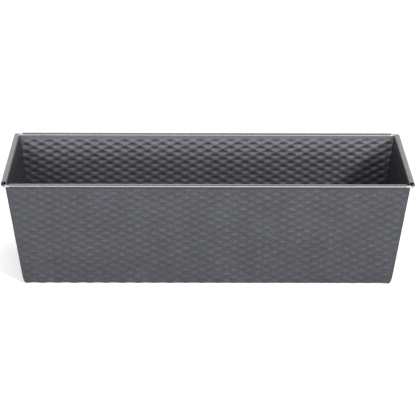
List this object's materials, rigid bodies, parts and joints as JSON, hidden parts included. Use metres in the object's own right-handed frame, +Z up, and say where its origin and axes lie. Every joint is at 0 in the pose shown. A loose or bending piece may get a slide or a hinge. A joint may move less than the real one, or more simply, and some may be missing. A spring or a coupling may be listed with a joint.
{
  "type": "loaf pan",
  "caption": "Folded sheet-steel loaf pan with leaning walls, corner ears pressed onto its ends and rims rolled round a steel wire.",
  "frame": {"origin": "middle of the flat underside", "axes": "+X along the pan's length, +Y from the front long wall to the back one, +Z up out of the open mouth"},
  "size_m": [0.255, 0.112, 0.07],
  "materials": {
    "coated_steel": "satin anthracite non-stick coating with a fine metallic fleck, on embossed steel sheet",
    "bare_steel_wire": "bright drawn steel"
  },
  "bodies": {
    "root": {"pan_body": "coated_steel", "rim_wire": "bare_steel_wire"}
  },
  "joints": []
}
